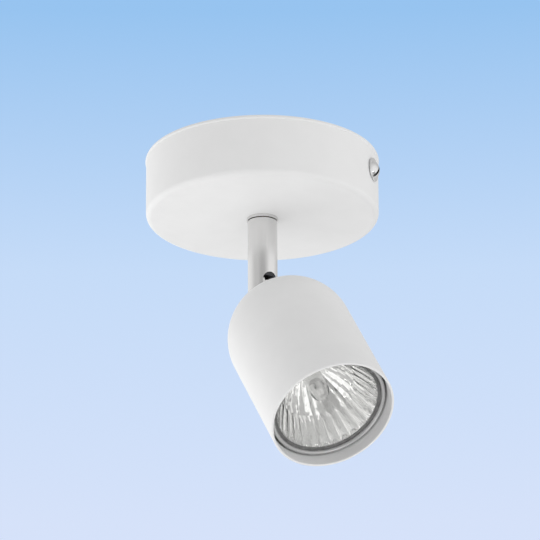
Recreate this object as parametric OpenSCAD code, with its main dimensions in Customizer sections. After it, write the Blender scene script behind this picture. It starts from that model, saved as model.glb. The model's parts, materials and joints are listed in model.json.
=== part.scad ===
// Ceiling spotlight: a round canopy, a turning stem, a ball joint in a slotted tube
// and a bullet-shaped shade that holds a twist-lock reflector bulb.
// Origin at the centre of the ceiling plane, +Z up, the shade tilts toward -Y.

/* [Canopy] */
// Outside diameter of the canopy
canopy_d = 100; // [90:1:140]
// Height of the canopy below the ceiling
canopy_h = 27; // [25:0.5:40]
// Sheet thickness of the canopy
canopy_wall = 1; // [0.7:0.1:1.5]
// Outside radius of the canopy's lower edge
canopy_edge_r = 2.4; // [1.8:0.1:6]
// Diameter of the rolled bead along the ceiling rim
rim_bead_d = 1.7; // [1.5:0.1:2.4]

/* [Ceiling bracket] */
// Angle of the bracket and the side screws from +X
bracket_turn = -52.5; // [-90:0.5:90]
// Width of the bracket strip
bracket_w = 18; // [14:1:24]
// Thickness of the bracket strip
bracket_t = 1.5; // [1:0.1:2.5]
// Width of the bent tabs at the bracket's ends
tab_w = 14; // [10:0.5:18]
// Distance across the two ceiling screw holes
ceiling_pcd = 60; // [56:1:72]
// Diameter of the ceiling screw holes
ceiling_hole_d = 4.6; // [3.5:0.1:6]
// Diameter of the central hole for the supply wires
supply_hole_d = 11; // [8:0.5:13]

/* [Side screws] */
// Thread diameter of the side screws
side_screw_d = 4; // [3:0.5:5]
// Length of the side screws under the head
side_screw_l = 9; // [6:0.5:14]
// Height of the side screws' axis below the ceiling
side_screw_drop = 11; // [9:0.5:16]
// Diameter of the flange under the side screws' domes
side_head_d = 10.5; // [9:0.5:14]
// Thickness of the flange under the side screws' domes
side_flange_t = 0.8; // [0.5:0.1:1.5]
// Diameter of the side screws' domes
side_dome_d = 8; // [6:0.5:8.5]
// Thickness of the side screws' heads with their domes
side_head_h = 2.8; // [2.2:0.1:4]
// Width of the driver slot in the side screws
side_slot_w = 1.2; // [0.8:0.1:2]

/* [Terminal block] */
// Length of the block across its poles
block_l = 30; // [29.5:0.5:36]
// Width of the block along its sleeves
block_w = 16; // [14:0.5:18]
// Height of the block below the bracket
block_h = 11; // [9:0.5:14]
// Distance of the block's near side from the centre
block_reach = 9; // [7:0.5:12]
// Distance between neighbouring poles
pole_pitch = 11; // [10.8:0.1:11.4]
// Outside diameter of the clamp sleeves
sleeve_d = 5; // [4:0.1:5.4]
// Bore of the clamp sleeves
sleeve_bore = 3; // [2.4:0.1:3.4]
// Diameter of the clamp screws
clamp_screw_d = 2.6; // [2:0.1:3]

/* [Earth terminal] */
// Distance of the earth screw from the centre
earth_reach = 15; // [11:0.5:20]
// Thread diameter of the earth screw
earth_screw_d = 4; // [3:0.5:5]

/* [Leads] */
// Diameter of the insulated leads
lead_d = 1.7; // [1.2:0.1:2]

/* [Stem] */
// Outside diameter of the stem tube
stem_d = 12.7; // [12:0.1:16]
// Wall of the stem tube
stem_wall = 0.9; // [0.7:0.1:1.2]
// Height of the ball's centre below the canopy's face
stem_drop = 31; // [30:0.5:80]
// Outside diameter of the collar under the canopy
collar_d = 13.5; // [12.5:0.1:18]
// Height of the collar
collar_h = 1.3; // [0.8:0.1:4]
// Running gap between the collar and the tube
collar_gap = 0.3; // [0.2:0.05:0.6]

/* [Swivel] */
// Thread diameter of the hollow nipple
nipple_d = 8; // [7:0.5:9]
// Bore of the hollow nipple
nipple_bore = 5.4; // [4.6:0.1:5.8]
// Radial clearance of the nipple in the canopy
nipple_play = 0.06; // [0.03:0.01:0.1]
// Length of the plug in the tube's upper end
plug_l = 10; // [7:0.5:14]
// Diameter of the sliding washer on the canopy's floor
slide_washer_d = 18; // [14:0.5:22]
// Thickness of the sliding washer
slide_washer_t = 0.8; // [0.5:0.1:1.5]
// Thickness of the stop washer
stop_t = 1.5; // [1:0.1:2.5]
// Width of the stop washer's lug
stop_lug_w = 3; // [2:0.1:4]
// Diameter of the stop pin on the canopy's floor
stop_pin_d = 2; // [1.5:0.1:3]
// Thickness of the split washer
split_washer_t = 1.5; // [1:0.1:2]
// Width across the flats of the nipple's nut
nipple_nut_af = 13; // [12:0.5:16]
// Height of the nipple's nut
nipple_nut_h = 3; // [2:0.1:4]

/* [Ball joint] */
// Diameter of the neck below the ball
neck_d = 6; // [5.4:0.1:6.4]
// Bore through the ball and the neck
neck_bore = 4.2; // [3.8:0.1:4.6]
// Width of the slot in the tube
slot_w = 6.8; // [6.6:0.1:7.2]
// Height of the slot's round top above the ball's centre
slot_rise = 4.6; // [4.2:0.1:6]
// Diameter of the opening in the tube's rolled end
opening_d = 7; // [6.8:0.1:7.6]
// Thickness of the tube's rolled end below the ball's seat
lip_t = 0.7; // [0.5:0.1:1.2]
// Height of the cup that presses on the ball
cup_h = 5; // [3.5:0.1:7]
// Wire diameter of the spring above the cup
spring_wire = 1; // [0.7:0.1:1.2]
// Number of turns of the spring
spring_turns = 5; // [3:1:8]

/* [Shade] */
// Tilt of the shade from straight down
tilt = 35; // [0:1:90]
// Distance from the ball's centre to the top of the shade
head_reach = 11.6; // [11:0.1:20]
// Gap between the bulb's rim and the shade's wall
bulb_gap = 0.8; // [0.5:0.1:3]
// Length of the shade
shade_l = 79; // [78:0.5:100]
// Sheet thickness of the shade
shade_wall = 1; // [0.7:0.1:1.2]
// Radius of the flat middle of the shade's round end
dome_flat = 1; // [0.4:0.1:2]
// Depth of the bulb's rim behind the shade's mouth
bulb_recess = 5.5; // [3:0.5:12]

/* [Holder bracket] */
// Thickness of the strap that carries the lampholder
strap_t = 1.2; // [0.8:0.1:1.5]
// Width of the strap
strap_w = 12; // [9:0.5:13]
// Width across the flats of the neck's nut
neck_nut_af = 10; // [9:0.5:11]
// Height of the neck's nut
neck_nut_h = 3.2; // [2.4:0.1:3.6]

/* [Lampholder] */
// Length of the lampholder across its ears
holder_l = 33; // [31:0.5:38]
// Width of the lampholder
holder_w = 20; // [18:0.5:24]
// Height of the lampholder's ears
holder_ear_h = 9.3; // [8.8:0.1:12]
// Height of the lampholder's raised back
holder_back_h = 3; // [2:0.1:4]
// Distance between the lampholder's two screws
holder_screw_pitch = 25; // [24.5:0.5:28]

/* [Bulb] */
// Rim diameter of the bulb
bulb_d = 50; // [49:0.1:51]
// Length of the bulb from its rim to its base
bulb_l = 47.5; // [46:0.5:52]
// Height of the bulb's rim
rim_h = 4; // [3.4:0.1:6]
// Depth of the cover glass behind the rim's front
glass_depth = 2.7; // [0.5:0.1:3]
// Width of the bulb's rim beside the cover glass
rim_w = 1.3; // [1.1:0.1:2]
// Distance between the two bayonet pins
pin_pitch = 10; // [9.5:0.1:10.5]
// Diameter of the bayonet pins' heads
pin_head_d = 5; // [4.6:0.1:5.2]
// Angle that the bulb turns to unlock
unlock_turn = 20; // [15:1:30]
// Number of facets round the reflector
facets = 32; // [16:4:40]

/* [Hidden] */
$fn = 64;
// Overlap of a cutting tool past the face that it cuts
past = 1;
// Gap between parts that move past each other without a fit
loose = 0.3;
// Radial clearance of the ball in its seat
ball_play = 0.1;
// Clearance of a hole round a screw, a pin or a head
hole_play = 0.6;
// Clearance of a hole round a lead
lead_play = 0.4;
// Overlap that only joins two cuts
sliver = 0.01;

canopy_r = canopy_d / 2;
canopy_in_r = canopy_r - canopy_wall;
floor_z = -canopy_h + canopy_wall;
bracket_under = -bracket_t;
// Outer face of a tab, clear of the canopy's round wall at the tab's corners
tab_x = sqrt(pow(canopy_in_r, 2) - pow(tab_w / 2, 2)) - loose;
tab_past = 4;
tab_h = side_screw_drop + side_screw_d / 2 + tab_past;
// Angle of the driver slot from the vertical
side_slot_turn = 75;

block_x = block_reach + block_w / 2;
pole_w = 6.4;
pole_step = 3;
web_inset = 2;
block_under = bracket_under - block_h;
block_screw_head_d = 4.2;
block_screw_head_h = 1.6;
block_slot_w = 0.7;
clamp_hole_d = clamp_screw_d + 1;
clamp_slot_w = 0.6;
clamp_slot_h = 0.8;
clamp_offset = block_w / 4;
sleeve_inset = 1;
sleeve_l = block_w - 2 * sleeve_inset;
sleeve_share = 0.55;
sleeve_z = bracket_under - block_h * sleeve_share;
tip_z = sleeve_z - lead_d / 2;
// How far a lead goes into its sleeve, and how wide it bends outside
lead_grip = 5;
lead_bend = 7;

earth_washer_t = 0.8;
earth_washer_d = 9;
earth_tag_t = 0.8;
earth_tag_d = 8;
earth_tag_z = bracket_under - earth_washer_t - earth_tag_t;
earth_barrel_l = 6;
earth_barrel_d = lead_d + 1;
earth_barrel_z = earth_tag_z + earth_tag_t - earth_barrel_d / 2;
earth_head_d = 7;
earth_head_h = 2.2;
earth_slot_w = 1;
teeth = 12;
tooth_gap = 1.2;

swivel_r = nipple_d / 2 + nipple_play;
stop_z = floor_z + slide_washer_t;
split_z = stop_z + stop_t;
nut_z = split_z + split_washer_t;
nipple_past = 1.5;
nipple_top = nut_z + nipple_nut_h + nipple_past;
split_gap = 0.8;
split_lean = 35;
stop_washer_rim = 3.5;
stop_washer_d = nipple_d + 2 * stop_washer_rim;
stop_pin_gap = 0.8;
stop_pin_r = slide_washer_d / 2 + stop_pin_d / 2 + stop_pin_gap;

collar_z = -canopy_h - collar_h;
tube_top = collar_z - collar_gap;
ball_z = -canopy_h - stem_drop;
stem_in_r = stem_d / 2 - stem_wall;
ball_r = stem_in_r - ball_play;
ball_past = ball_r + past;
opening_r = opening_d / 2;
tube_end = ball_z - sqrt(pow(stem_in_r, 2) - pow(opening_r, 2)) - lip_t;
slot_round_z = ball_z + slot_rise - slot_w / 2;
plug_z = tube_top - plug_l;
plug_floor = 2;
neck_room = 0.2;
cup_z = ball_z + neck_d / 2 + neck_room;
cup_top = cup_z + cup_h;
cup_bore_r = 2 * lead_d;
spring_r = stem_in_r - spring_wire / 2 - loose;
spring_run = plug_z - cup_top - spring_wire;
spring_air = 0.45;
spring_close = spring_wire + spring_air;
lead_gap = 0.3;
lead_x = (lead_d + lead_gap) / 2;
lead_split = nipple_top + 2 * loose;

shade_r = bulb_d / 2 + bulb_gap + shade_wall;
dome_r = shade_r - dome_flat;
dome_z = head_reach + dome_r;
mouth = head_reach + shade_l;
dome_in_r = dome_r - shade_wall;
dome_washer_r = 8.5;
dome_washer_t = 1.6;
shoulder_d = 8.4;
shoulder_h = 1.7;
strap_z = head_reach + shade_wall + dome_washer_t;
strap_leg = 8.4;
neck_washer_z = strap_z + strap_t;
neck_washer_t = 0.8;
neck_washer_d = neck_nut_af + 1;
neck_nut_z = neck_washer_z + neck_washer_t;
neck_past = 0.5;
neck_end = neck_nut_z + neck_nut_h + neck_past;

rim_front = mouth - bulb_recess;
base_z = rim_front - bulb_l;
holder_face = base_z - loose;
ear_z = holder_face - holder_ear_h;
back_z = ear_z - holder_back_h;
back_play = 0.2;
back_step = 2;
holder_back_l = 2 * (strap_leg - strap_t - back_play);
holder_back_w = holder_w - 2 * back_step;
cover_t = 1;
cover_z = back_z - cover_t;
rivet_d = 2;
rivet_l = 2;
rivet_head_d = 3.6;
rivet_head_h = 0.7;
terminal_x = 4.6;
tail_w = 2;
tail_t = 1;
tail_foot = 0.5;
tail_z = back_z + tail_foot;
pin_step = 0.8;
pin_neck_d = pin_head_d - 2 * pin_step;
pin_l = 7;
pin_head_l = 3;
pin_root = 3;
pocket_play = 0.2;
socket_lip = pin_l - pin_head_l - 2 * loose;
contact_t = 1;
contact_w = 4;
socket_floor = holder_face - pin_l - contact_t;
holder_screw_d = 3;
holder_screw_past = 0.5;
holder_head_d = 5.6;
holder_head_h = 1.9;
holder_slot_w = 0.9;
holder_bore_h = holder_head_h + loose;

base_r = 11.5;
base_h = 10;
base_foot = 6;
base_edge = 0.6;
base_taper = 1.2;
glass_d = bulb_d - 2 * rim_w;
glass_t = 1;
glass_z = rim_front - glass_depth - glass_t;
rim_flare = 0.5;
rim_round = 0.45;
reflector_neck_r = 8.8;
reflector_neck_l = 4;
reflector_wall = 1.7;
glass_ledge = 1;
shell_foot = 2;
bowl_r = glass_d / 2 - glass_ledge;
bowl_low_r = 6.5;
bowl_rise = 8;
bowl_z = base_z + base_h + bowl_rise;
facet_rows = 4;
flute_rows = 5;
flute_share = 0.55;
flute_from = flute_share * bowl_r;
capsule_r = 4.3;
capsule_wall = 0.8;
capsule_room = 0.9;
capsule_lift = 1;
capsule_foot = 1.6;
capsule_z = base_z + base_h + capsule_lift;
capsule_l = 22;
capsule_tip_d = 2;
capsule_tip_h = 1.2;
pinch_w = 7;
pinch_t = 3;
pinch_room = 1.3;
pinch_lift = 3;
pinch_z = base_z + pin_root + pinch_lift;
pinch_h = capsule_z + past - pinch_z;
filament_r = 0.9;
filament_wire = 0.3;
filament_turns = 8;
filament_pitch = 0.9;
filament_foot = 0.5;
filament_share = 0.42;
filament_z = capsule_z + capsule_l * filament_share;
support_d = 0.8;
support_x = 2.6;

// Outline of a round cup, open at the top, in the plane of radius and height
module cup_outline(r, h, edge) {
    translate([0, -h]) square([r - edge, h]);
    translate([0, edge - h]) square([r, h - edge]);
    translate([r - edge, edge - h]) circle(edge);
}

// Outline of a bullet with its round end at height 0
module bullet_outline(r, l, corner) {
    intersection() {
        square([r, l]);
        union() {
            square([r - corner, l]);
            translate([0, corner]) square([r, l - corner]);
            translate([r - corner, corner]) circle(corner, $fn = 128);
        }
    }
}

module ring(outer_d, inner_d, h) {
    difference() {
        cylinder(d = outer_d, h = h);
        translate([0, 0, -past]) cylinder(d = inner_d, h = h + 2 * past);
    }
}

// Flat washer with teeth cut round its rim
module toothed_washer(outer_d, inner_d, h) {
    difference() {
        ring(outer_d, inner_d, h);
        for (k = [0 : teeth - 1]) rotate([0, 0, 360 * k / teeth])
            translate([outer_d / 2, 0, -past]) cylinder(d = tooth_gap, h = h + 2 * past);
    }
}

// Hexagon nut with both ends turned down
module hex_nut(flats, h, bore) {
    corner_r = flats / 2 / cos(30);
    turned = h * 0.14;
    difference() {
        intersection() {
            cylinder(r = corner_r, h = h, $fn = 6);
            rotate_extrude() polygon([[0, 0], [flats / 2, 0], [corner_r, turned],
                [corner_r, h - turned], [flats / 2, h], [0, h]]);
        }
        translate([0, 0, -past]) cylinder(d = bore, h = h + 2 * past);
    }
}

// Screw along -Z from the underside of its head, with a straight driver slot
module slotted_screw(thread_d, l, head_d, head_h, slot) {
    difference() {
        union() {
            translate([0, 0, -l]) cylinder(d = thread_d, h = l);
            rotate_extrude() intersection() {
                translate([0, head_h - head_d]) circle(head_d, $fn = 128);
                square([head_d / 2, head_h]);
            }
        }
        translate([-head_d, -slot / 2, head_h * 0.45]) cube([2 * head_d, slot, head_h]);
    }
}

// Screw along -Z from the underside of its flange, with a driver slot across its dome
module domed_screw(thread_d, l, flange_d, flange_t, dome_d, head_h, slot) {
    cap_h = head_h - flange_t;
    cap_r = (pow(dome_d / 2, 2) + pow(cap_h, 2)) / (2 * cap_h);
    difference() {
        union() {
            translate([0, 0, -l]) cylinder(d = thread_d, h = l);
            rotate_extrude() {
                square([(flange_d - flange_t) / 2, flange_t]);
                translate([(flange_d - flange_t) / 2, flange_t / 2]) circle(d = flange_t);
                intersection() {
                    translate([0, head_h - cap_r]) circle(cap_r, $fn = 128);
                    square([dome_d / 2, head_h]);
                }
            }
        }
        translate([-dome_d, -slot / 2, flange_t + cap_h * 0.35]) cube([2 * dome_d, slot, cap_h]);
    }
}

function unit(v) = v / norm(v);
function tangent(p, i) = unit(p[min(i + 1, len(p) - 1)] - p[max(i - 1, 0)]);
function bezier(a, b, c, d, t) =
    pow(1 - t, 3) * a + 3 * pow(1 - t, 2) * t * b + 3 * (1 - t) * t * t * c + pow(t, 3) * d;
function curve(a, b, c, d, n) = [for (i = [0 : n]) bezier(a, b, c, d, i / n)];
function turned(p, a) = [p[0] * cos(a) - p[1] * sin(a), p[0] * sin(a) + p[1] * cos(a), p[2]];

// Round tube swept along a path; across is a direction that the path never takes
module swept_tube(path, d, sides, across) {
    n = len(path);
    rings = [for (i = [0 : n - 1])
        let (t = tangent(path, i), u = unit(cross(t, across)), v = cross(t, u))
        for (k = [0 : sides - 1])
            path[i] + d / 2 * (cos(360 * k / sides) * u + sin(360 * k / sides) * v)];
    walls = [for (i = [0 : n - 2], k = [0 : sides - 1])
        let (m = (k + 1) % sides)
        [i * sides + k, (i + 1) * sides + k, (i + 1) * sides + m, i * sides + m]];
    ends = [[for (k = [0 : sides - 1]) k], [for (k = [sides - 1 : -1 : 0]) (n - 1) * sides + k]];
    polyhedron(rings, concat(walls, ends), convexity = 6);
}

// Frame of the bracket: X runs from side screw to side screw
module in_bracket() {
    rotate([0, 0, bracket_turn]) children();
}

// Frame of the head: Z runs from the ball's centre along the beam
module in_head() {
    translate([0, 0, ball_z]) rotate([180 - tilt, 0, 0]) children();
}

module canopy() {
    color("white") difference() {
        rotate_extrude($fn = 128) difference() {
            union() {
                cup_outline(canopy_r, canopy_h, canopy_edge_r);
                translate([canopy_r - canopy_wall / 2, -rim_bead_d / 2]) circle(d = rim_bead_d);
            }
            cup_outline(canopy_in_r, canopy_h - canopy_wall, canopy_edge_r - canopy_wall);
            translate([0, -past]) square([canopy_in_r, 2 * past]);
        }
        translate([0, 0, -canopy_h - past]) cylinder(r = swivel_r, h = canopy_wall + 2 * past);
        in_bracket() translate([0, 0, -side_screw_drop]) rotate([0, 90, 0])
            cylinder(d = side_screw_d + hole_play, h = canopy_d + 2 * past, center = true);
    }
}

module ceiling_bracket() {
    color("lightgray") in_bracket() difference() {
        union() {
            translate([-tab_x + bracket_t, -bracket_w / 2, -bracket_t])
                cube([2 * (tab_x - bracket_t), bracket_w, bracket_t]);
            for (side = [0, 180]) rotate([0, 0, side]) {
                translate([tab_x - bracket_t, 0, -bracket_t]) rotate([90, 0, 0])
                    linear_extrude(tab_w, center = true) intersection() {
                        circle(bracket_t);
                        square(bracket_t);
                    }
                translate([tab_x - bracket_t, -tab_w / 2, -tab_h])
                    cube([bracket_t, tab_w, tab_h - bracket_t]);
            }
        }
        for (side = [0, 180]) rotate([0, 0, side]) {
            translate([ceiling_pcd / 2, 0, -bracket_t - past])
                cylinder(d = ceiling_hole_d, h = bracket_t + 2 * past);
            translate([0, 0, -side_screw_drop]) rotate([0, 90, 0])
                cylinder(d = side_screw_d, h = canopy_r);
        }
        translate([0, 0, -bracket_t - past]) cylinder(d = supply_hole_d, h = bracket_t + 2 * past);
        translate([-earth_reach, 0, -bracket_t - past])
            cylinder(d = earth_screw_d, h = bracket_t + 2 * past);
        translate([block_x, pole_pitch / 2, -bracket_t - past])
            cylinder(d = clamp_screw_d, h = bracket_t + 2 * past);
    }
}

module side_screws() {
    color("silver") in_bracket() for (side = [0, 180])
        rotate([0, 0, side]) translate([canopy_r, 0, -side_screw_drop]) rotate([0, 90, 0])
            rotate([0, 0, side_slot_turn]) domed_screw(side_screw_d, side_screw_l, side_head_d,
                side_flange_t, side_dome_d, side_head_h, side_slot_w);
}

module terminal_block() {
    color("ivory") in_bracket() difference() {
        union() {
            for (pole = [-1 : 1])
                translate([block_reach, pole * pole_pitch - pole_w / 2, block_under])
                    cube([block_w, pole_w, block_h]);
            translate([block_reach + web_inset, -block_l / 2, block_under + pole_step])
                cube([block_w - 2 * web_inset, block_l, block_h - pole_step]);
        }
        for (pole = [-1 : 1]) translate([0, pole * pole_pitch, 0]) {
            translate([block_reach - past, 0, sleeve_z]) rotate([0, 90, 0])
                cylinder(d = sleeve_d, h = block_w + 2 * past);
            for (end = [-1, 1])
                translate([block_x + end * clamp_offset, 0, block_under - past])
                    cylinder(d = clamp_hole_d, h = sleeve_z - block_under + past);
        }
        translate([block_x, pole_pitch / 2, block_under - past])
            cylinder(d = clamp_screw_d, h = block_h + 2 * past);
    }
}

module clamp_sleeves() {
    color("goldenrod") in_bracket() for (pole = [-1 : 1]) difference() {
        translate([block_x - sleeve_l / 2, pole * pole_pitch, sleeve_z]) rotate([0, 90, 0])
            ring(sleeve_d, sleeve_bore, sleeve_l);
        for (end = [-1, 1])
            translate([block_x + end * clamp_offset, pole * pole_pitch, sleeve_z - sleeve_d])
                cylinder(d = clamp_screw_d, h = sleeve_d);
    }
}

module clamp_screws() {
    color("silver") in_bracket() for (pole = [-1 : 1], end = [-1, 1])
        translate([block_x + end * clamp_offset, pole * pole_pitch, block_under + past])
            difference() {
                cylinder(d = clamp_screw_d, h = tip_z - block_under - past);
                translate([-clamp_screw_d, -clamp_slot_w / 2, -past])
                    cube([2 * clamp_screw_d, clamp_slot_w, past + clamp_slot_h]);
            }
}

module block_screw() {
    color("silver") in_bracket() translate([block_x, pole_pitch / 2, block_under + pole_step])
        rotate([180, 0, 0]) slotted_screw(clamp_screw_d, block_h - pole_step + bracket_t,
            block_screw_head_d, block_screw_head_h, block_slot_w);
}

module earth_washer() {
    color("silver") in_bracket() translate([-earth_reach, 0, bracket_under - earth_washer_t])
        toothed_washer(earth_washer_d, earth_screw_d, earth_washer_t);
}

module earth_tag() {
    color("goldenrod") in_bracket() translate([-earth_reach, 0, 0]) {
        translate([0, 0, earth_tag_z]) difference() {
            union() {
                cylinder(d = earth_tag_d, h = earth_tag_t);
                translate([0, -earth_barrel_d / 2, 0])
                    cube([earth_tag_d / 2 + past, earth_barrel_d, earth_tag_t]);
            }
            translate([0, 0, -past]) cylinder(d = earth_screw_d, h = earth_tag_t + 2 * past);
            translate([earth_tag_d / 2, 0, earth_barrel_z - earth_tag_z]) rotate([0, 90, 0])
                cylinder(d = lead_d, h = earth_barrel_l);
        }
        translate([earth_tag_d / 2, 0, earth_barrel_z]) rotate([0, 90, 0])
            ring(earth_barrel_d, lead_d, earth_barrel_l);
    }
}

module earth_screw() {
    color("silver") in_bracket() translate([-earth_reach, 0, earth_tag_z]) rotate([180, 0, 0])
        slotted_screw(earth_screw_d, earth_washer_t + earth_tag_t + bracket_t,
            earth_head_d, earth_head_h, earth_slot_w);
}

module earth_lead() {
    barrel_mid = earth_barrel_l / 3;
    start = [earth_tag_d / 2 + barrel_mid - earth_reach, 0, earth_barrel_z];
    bend_from = start + [earth_barrel_l - barrel_mid, 0, 0];
    bend_to = [block_reach, 0, sleeve_z];
    color("yellowgreen") in_bracket() swept_tube(concat([start],
        curve(bend_from, bend_from + [lead_bend, 0, 0], bend_to - [lead_bend, 0, 0], bend_to, 10),
        [bend_to + [lead_grip, 0, 0]]), lead_d, 10, [0, 1, 0]);
}

// Lead from a pole of the block down to the nipple's mouth; side is 1 or -1
module canopy_lead(side) {
    start = [block_reach, side * pole_pitch, sleeve_z];
    end = turned([side * lead_x, 0, lead_split + loose], -bracket_turn);
    in_bracket() swept_tube(concat([start + [lead_grip, 0, 0]],
        curve(start, start - [lead_bend, 0, 0], end + [0, 0, lead_bend], end, 14)),
        lead_d, 10, [0.3, -side, 1]);
}

module canopy_live_lead() {
    color("brown") canopy_lead(1);
}

module canopy_neutral_lead() {
    color("blue") canopy_lead(-1);
}

module slide_washer() {
    color("ivory") translate([0, 0, floor_z]) ring(slide_washer_d, 2 * swivel_r, slide_washer_t);
}

module stop_pin() {
    color("lightgray") translate([0, stop_pin_r, floor_z])
        cylinder(d = stop_pin_d, h = slide_washer_t + stop_t);
}

module stem_collar() {
    color("silver") translate([0, 0, collar_z]) ring(collar_d, 2 * swivel_r, collar_h);
}

module stem_nipple() {
    color("goldenrod") translate([0, 0, plug_z + plug_floor])
        ring(nipple_d, nipple_bore, nipple_top - plug_z - plug_floor);
}

module nipple_nut() {
    color("goldenrod") translate([0, 0, nut_z]) hex_nut(nipple_nut_af, nipple_nut_h, nipple_d);
}

module split_washer() {
    color("silver") translate([0, 0, split_z]) difference() {
        ring(nipple_nut_af, nipple_d, split_washer_t);
        translate([nipple_nut_af / 2, 0, split_washer_t / 2]) rotate([split_lean, 0, 0])
            cube([nipple_nut_af, split_gap, 6 * split_washer_t], center = true);
    }
}

module stop_washer() {
    lug_reach = stop_pin_r + stop_pin_d / 2 + loose;
    color("silver") translate([0, 0, stop_z]) difference() {
        union() {
            cylinder(d = stop_washer_d, h = stop_t);
            intersection() {
                cylinder(r = lug_reach, h = stop_t);
                translate([-stop_lug_w / 2, -lug_reach, 0]) cube([stop_lug_w, lug_reach, stop_t]);
            }
        }
        translate([0, 0, -past]) cylinder(d = nipple_d, h = stop_t + 2 * past);
    }
}

module stem_plug() {
    color("goldenrod") translate([0, 0, plug_z]) difference() {
        cylinder(r = stem_in_r, h = plug_l);
        translate([0, 0, plug_floor]) cylinder(d = nipple_d, h = plug_l);
        translate([0, 0, -past]) cylinder(d = nipple_bore, h = plug_l);
    }
}

// Tube closed to a rolled seat under the ball, and slotted so that the neck can swing up
module stem_tube() {
    tube_l = tube_top - tube_end;
    round_r = stem_wall + lip_t;
    color("silver") difference() {
        rotate_extrude() difference() {
            translate([0, tube_end]) union() {
                square([stem_d / 2 - round_r, tube_l]);
                translate([0, round_r]) square([stem_d / 2, tube_l - round_r]);
                translate([stem_d / 2 - round_r, round_r]) circle(round_r);
            }
            translate([0, ball_z]) {
                square([stem_in_r, tube_l]);
                intersection() {
                    circle(stem_in_r, $fn = 128);
                    translate([0, -stem_in_r]) square(stem_in_r);
                }
            }
            translate([0, tube_end - past]) square([opening_r, stem_d]);
        }
        rotate([90, 0, 0]) linear_extrude(stem_d) {
            translate([0, slot_round_z]) circle(d = slot_w);
            translate([-slot_w / 2, tube_end - past]) square([slot_w, slot_round_z - tube_end + past]);
        }
    }
}

// Height along the spring after a number of turns, with closed turns at both ends
function spring_height(turn) =
    turn < 1 ? turn * spring_close
    : turn > spring_turns - 1 ? spring_run - (spring_turns - turn) * spring_close
    : spring_close + (turn - 1) * (spring_run - 2 * spring_close) / (spring_turns - 2);

module ball_spring() {
    steps = 20;
    color("lightgray") translate([0, 0, cup_top + spring_wire / 2])
        swept_tube([for (i = [0 : spring_turns * steps])
            [spring_r * cos(360 * i / steps), spring_r * sin(360 * i / steps), spring_height(i / steps)]],
            spring_wire, 6, [0, 0, 1]);
}

module ball_cup() {
    color("dimgray") difference() {
        translate([0, 0, cup_z]) cylinder(r = stem_in_r, h = cup_h);
        translate([0, 0, ball_z]) sphere(stem_in_r, $fn = 96);
        translate([0, 0, ball_z]) cylinder(r = cup_bore_r, h = stem_drop);
    }
}

module stem_lead(side) {
    low = ball_z + ball_r + loose;
    translate([side * lead_x, 0, low]) cylinder(d = lead_d, h = lead_split - low);
}

module stem_live_lead() {
    color("brown") stem_lead(1);
}

module stem_neutral_lead() {
    color("blue") stem_lead(-1);
}

// Ball with a hollow neck; a slot over its top lets the leads bend as the head tilts
module swivel_ball() {
    color("silver") in_head() difference() {
        union() {
            sphere(ball_r, $fn = 96);
            cylinder(d = neck_d, h = neck_end);
            translate([0, 0, head_reach - shoulder_h]) cylinder(d = shoulder_d, h = shoulder_h);
        }
        translate([0, 0, -ball_past]) cylinder(d = neck_bore, h = neck_end + 2 * ball_past);
        translate([-neck_bore / 2, -neck_bore / 2, -ball_past])
            cube([neck_bore, neck_bore / 2 + ball_past, neck_bore / 2 + ball_past]);
    }
}

module shade() {
    color("white") in_head() difference() {
        translate([0, 0, head_reach]) rotate_extrude($fn = 128) difference() {
            union() {
                bullet_outline(shade_r, shade_l - shade_wall / 2, dome_r);
                translate([shade_r - shade_wall / 2, shade_l - shade_wall / 2])
                    circle(d = shade_wall);
            }
            translate([0, shade_wall])
                bullet_outline(shade_r - shade_wall, shade_l, dome_r - shade_wall);
        }
        translate([0, 0, head_reach - past]) cylinder(d = neck_d, h = shade_wall + 2 * past);
    }
}

module dome_washer() {
    color("silver") in_head() rotate_extrude($fn = 96) intersection() {
        translate([dome_flat, dome_z]) circle(dome_in_r, $fn = 128);
        translate([neck_d / 2, head_reach]) square([dome_washer_r - neck_d / 2, strap_z - head_reach]);
    }
}

module strap_half() {
    translate([0, strap_z]) square([strap_leg - strap_t, strap_t]);
    translate([strap_leg - strap_t, strap_z + strap_t]) intersection() {
        circle(strap_t);
        translate([0, -strap_t]) square(strap_t);
    }
    translate([strap_leg - strap_t, strap_z + strap_t])
        square([strap_t, ear_z - strap_z - 2 * strap_t]);
    translate([strap_leg, ear_z - strap_t]) intersection() {
        circle(strap_t);
        translate([-strap_t, 0]) square(strap_t);
    }
    translate([strap_leg, ear_z - strap_t]) square([holder_l / 2 - strap_leg - loose, strap_t]);
}

module holder_strap() {
    color("lightgray") in_head() difference() {
        rotate([90, 0, 90]) linear_extrude(strap_w, center = true) {
            strap_half();
            mirror([1, 0]) strap_half();
        }
        translate([0, 0, strap_z - past]) cylinder(d = neck_d, h = strap_t + 2 * past);
        for (side = [-1, 1]) translate([0, side * holder_screw_pitch / 2, ear_z - strap_t - past])
            cylinder(d = holder_screw_d, h = strap_t + 2 * past);
    }
}

module neck_washer() {
    color("silver") in_head() translate([0, 0, neck_washer_z])
        toothed_washer(neck_washer_d, neck_d, neck_washer_t);
}

module neck_nut() {
    color("silver") in_head() translate([0, 0, neck_nut_z]) hex_nut(neck_nut_af, neck_nut_h, neck_d);
}

// Curved channel round the head's axis, where a pin of this width slides
module pin_channel(w, low, high) {
    translate([0, 0, low]) linear_extrude(high - low) {
        intersection() {
            difference() {
                circle(d = pin_pitch + w);
                circle(d = pin_pitch - w);
            }
            polygon([[0, 0], [2 * pin_pitch, 0],
                [2 * pin_pitch * cos(unlock_turn), 2 * pin_pitch * sin(unlock_turn)]]);
        }
        for (a = [0, unlock_turn]) rotate(a)
            translate([pin_pitch / 2, 0]) circle(d = w + pocket_play);
    }
}

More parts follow.
